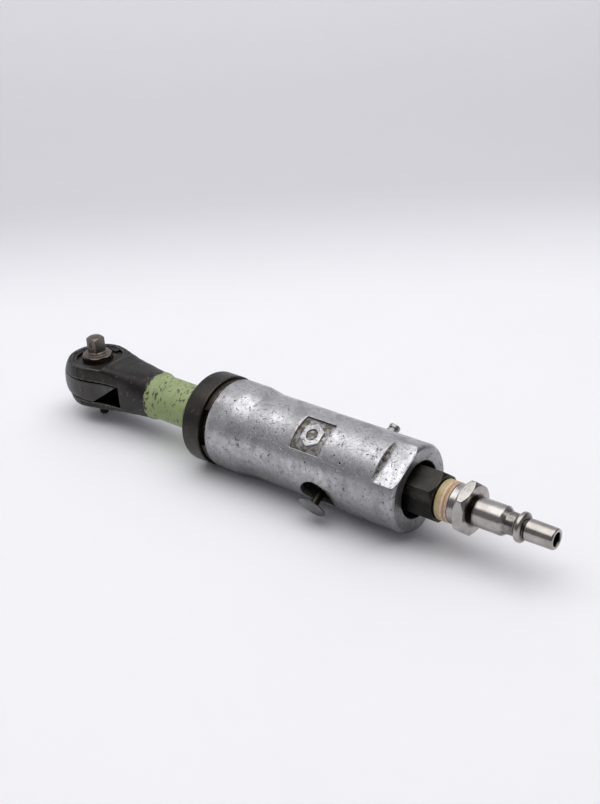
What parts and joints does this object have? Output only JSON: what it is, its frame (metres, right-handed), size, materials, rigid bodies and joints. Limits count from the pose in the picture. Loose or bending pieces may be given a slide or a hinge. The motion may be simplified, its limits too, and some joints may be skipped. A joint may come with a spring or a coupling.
{
  "type": "ratchet wrench",
  "caption": "Small air-powered ratchet wrench: square drive head with reverse lever, slim neck, round cast housing with push-button throttle, and a threaded hose plug.",
  "frame": {"origin": "middle of the flat end face of the square drive", "axes": "+X along the tool from the head to the hose plug, +Z out of the drive along the anvil, +Y to the side away from the throttle button"},
  "size_m": [0.2687, 0.0438, 0.041],
  "materials": {
    "black_steel": "blackened forging, satin, worn to grey on the edges",
    "worn_steel": "ground steel, oily, grey brown",
    "bright_steel": "turned and plated, lightly brushed",
    "hardened_steel": "hardened and ground",
    "cast_aluminium": "die cast, tumbled, scratched and stained by use",
    "green_tape": "printed sleeve, matt, scuffed, ragged at both ends",
    "amber_tape": "thread sealing tape soaked in oil",
    "bronze": "plain bearing bronze, dulled",
    "spring_steel": "drawn wire",
    "black_rubber": "matt",
    "vane_resin": "cotton filled phenolic resin"
  },
  "bodies": {
    "tool_body": {"ratchet_housing": "black_steel", "neck_band": "green_tape", "friction_washer": "bronze", "retaining_ring": "black_steel", "crank_bearing_front": "bronze", "crank_bearing_rear": "bronze", "ring_gear": "hardened_steel", "motor_cylinder": "hardened_steel", "front_end_plate": "hardened_steel", "rear_end_plate": "hardened_steel", "front_rotor_bearing": "bright_steel", "rear_rotor_bearing": "bright_steel", "alignment_pin": "bright_steel", "motor_gasket": "black_rubber", "motor_housing": "cast_aluminium", "coupling_nut": "black_steel", "exhaust_ring": "bronze", "throttle_bush": "bright_steel", "throttle_seal": "black_rubber", "throttle_spring": "spring_steel", "regulator_seal": "black_rubber", "inlet_bushing": "black_steel", "inlet_screen": "bronze", "hose_plug": "bright_steel", "thread_tape": "amber_tape"},
    "anvil": {"anvil": "worn_steel", "socket_ball": "bright_steel", "socket_ball_spring": "spring_steel", "pawl_pin": "bright_steel"},
    "pawl": {"pawl": "hardened_steel"},
    "reverse_lever": {"reverse_lever": "black_steel", "pawl_plunger": "bright_steel", "pawl_spring": "spring_steel"},
    "yoke": {"yoke": "worn_steel"},
    "crankshaft": {"crankshaft": "hardened_steel", "drive_bushing": "bronze", "planet_pin_1": "bright_steel", "planet_pin_2": "bright_steel", "planet_pin_3": "bright_steel"},
    "planet_1": {"planet_gear_1": "hardened_steel"},
    "planet_2": {"planet_gear_2": "hardened_steel"},
    "planet_3": {"planet_gear_3": "hardened_steel"},
    "rotor": {"rotor": "hardened_steel", "vane_1": "vane_resin", "vane_2": "vane_resin", "vane_3": "vane_resin", "vane_4": "vane_resin", "vane_5": "vane_resin"},
    "throttle": {"throttle_button": "bright_steel", "throttle_valve": "black_rubber"},
    "regulator": {"regulator_screw": "bright_steel"}
  },
  "joints": [
    {"name": "anvil_spin", "type": "hinge", "parent": "tool_body", "child": "anvil", "pos_m": [0, 0, -0.01], "axis": [0, 0, 1], "continuous": true},
    {"name": "reverse_turn", "type": "hinge", "parent": "anvil", "child": "reverse_lever", "pos_m": [0, 0, -0.032], "axis": [0, 0, 1], "range_deg": [0, 90]},
    {"name": "pawl_rock", "type": "hinge", "parent": "anvil", "child": "pawl", "pos_m": [-0.0054, 0, -0.0218], "axis": [0, 0, 1], "range_deg": [-12, 0]},
    {"name": "yoke_swing", "type": "hinge", "parent": "tool_body", "child": "yoke", "pos_m": [0, 0, -0.022], "axis": [0, 0, 1], "range_deg": [-3.2, 3.2]},
    {"name": "rotor_spin", "type": "hinge", "parent": "tool_body", "child": "rotor", "pos_m": [0.117, 0, -0.02], "axis": [1, 0, 0], "continuous": true},
    {"name": "crank_turn", "type": "hinge", "parent": "tool_body", "child": "crankshaft", "pos_m": [0.07, 0, -0.02], "axis": [1, 0, 0], "continuous": true},
    {"name": "planet_1_spin", "type": "hinge", "parent": "crankshaft", "child": "planet_1", "pos_m": [0.094, 0, -0.0116], "axis": [1, 0, 0], "continuous": true},
    {"name": "planet_2_spin", "type": "hinge", "parent": "crankshaft", "child": "planet_2", "pos_m": [0.094, -0.00727, -0.0242], "axis": [1, 0, 0], "continuous": true},
    {"name": "planet_3_spin", "type": "hinge", "parent": "crankshaft", "child": "planet_3", "pos_m": [0.094, 0.00727, -0.0242], "axis": [1, 0, 0], "continuous": true},
    {"name": "throttle_press", "type": "slide", "parent": "tool_body", "child": "throttle", "axis": [0, 0.8526, 0.5225], "range_m": [0, 0.003], "stiffness_N_per_m": 500, "springref_m": -0.004, "deforming": ["throttle_spring"]},
    {"name": "regulator_turn", "type": "hinge", "parent": "tool_body", "child": "regulator", "pos_m": [0.163, 0, -0.02], "axis": [0, 0.8387, 0.5446], "range_deg": [0, 270]}
  ],
  "couplings": [
    {"joint": "crank_turn", "follows": "rotor_spin", "ratio": 0.21429},
    {"joint": "planet_1_spin", "follows": "rotor_spin", "ratio": -0.58929},
    {"joint": "planet_2_spin", "follows": "rotor_spin", "ratio": -0.58929},
    {"joint": "planet_3_spin", "follows": "rotor_spin", "ratio": -0.58929},
    {"joint": "pawl_rock", "follows": "reverse_turn", "ratio": -0.13333}
  ]
}
